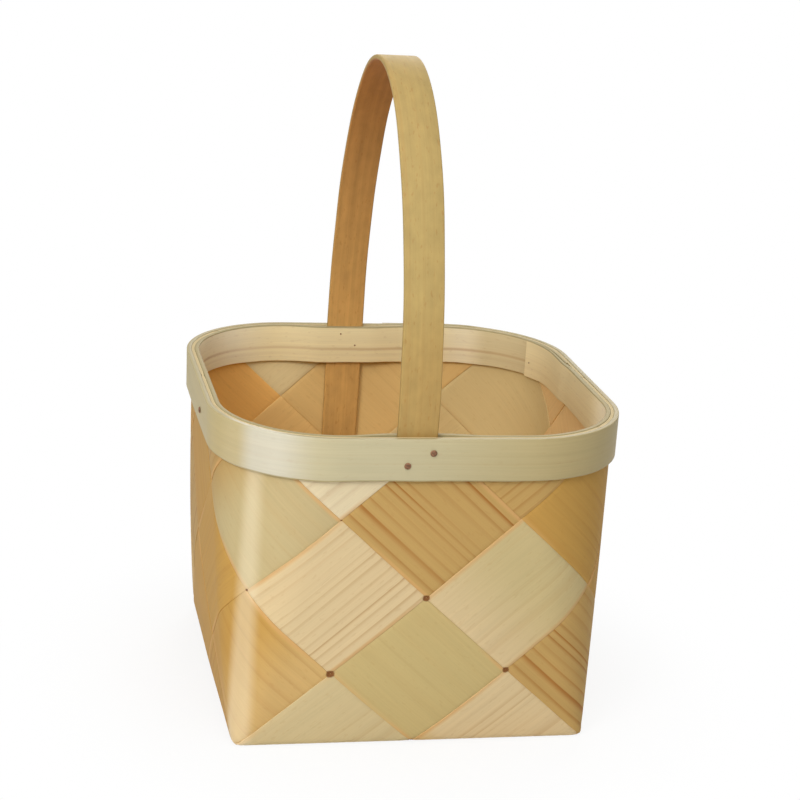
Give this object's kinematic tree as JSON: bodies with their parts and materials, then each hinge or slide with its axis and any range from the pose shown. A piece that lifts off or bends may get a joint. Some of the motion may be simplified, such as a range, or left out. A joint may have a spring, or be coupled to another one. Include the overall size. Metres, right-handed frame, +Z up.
{
  "type": "berry basket",
  "caption": "Square chip-wood berry basket with a wide diagonal plaid weave, an outer and an inner rim hoop, and a bent strap handle nailed between them.",
  "frame": {"origin": "middle of the base, on the surface that the basket stands on", "axes": "+Z up; -Y is the front of the basket and +X its right; the handle spans from front to back"},
  "size_m": [0.2004, 0.2021, 0.316],
  "materials": {
    "golden_chip": "raw split chip, satin",
    "cream_chip": "raw split chip, satin",
    "pale_hoop_wood": "raw, smooth",
    "handle_wood": "raw, smooth",
    "brown_nail_steel": "brown, a little rusty"
  },
  "bodies": {
    "root": {"strip_right_leaning_1": "golden_chip", "strip_right_leaning_2": "golden_chip", "strip_right_leaning_3": "golden_chip", "strip_right_leaning_4": "golden_chip", "strip_left_leaning_1": "cream_chip", "strip_left_leaning_2": "cream_chip", "strip_left_leaning_3": "cream_chip", "strip_left_leaning_4": "cream_chip", "outer_hoop": "pale_hoop_wood", "inner_hoop": "pale_hoop_wood", "handle": "handle_wood", "handle_nail_front_upper": "brown_nail_steel", "handle_nail_front_lower": "brown_nail_steel", "handle_nail_back_upper": "brown_nail_steel", "handle_nail_back_lower": "brown_nail_steel", "hoop_nail_left": "brown_nail_steel", "hoop_nail_right": "brown_nail_steel", "hoop_nail_back_upper": "brown_nail_steel", "hoop_nail_back_lower": "brown_nail_steel"}
  },
  "joints": []
}
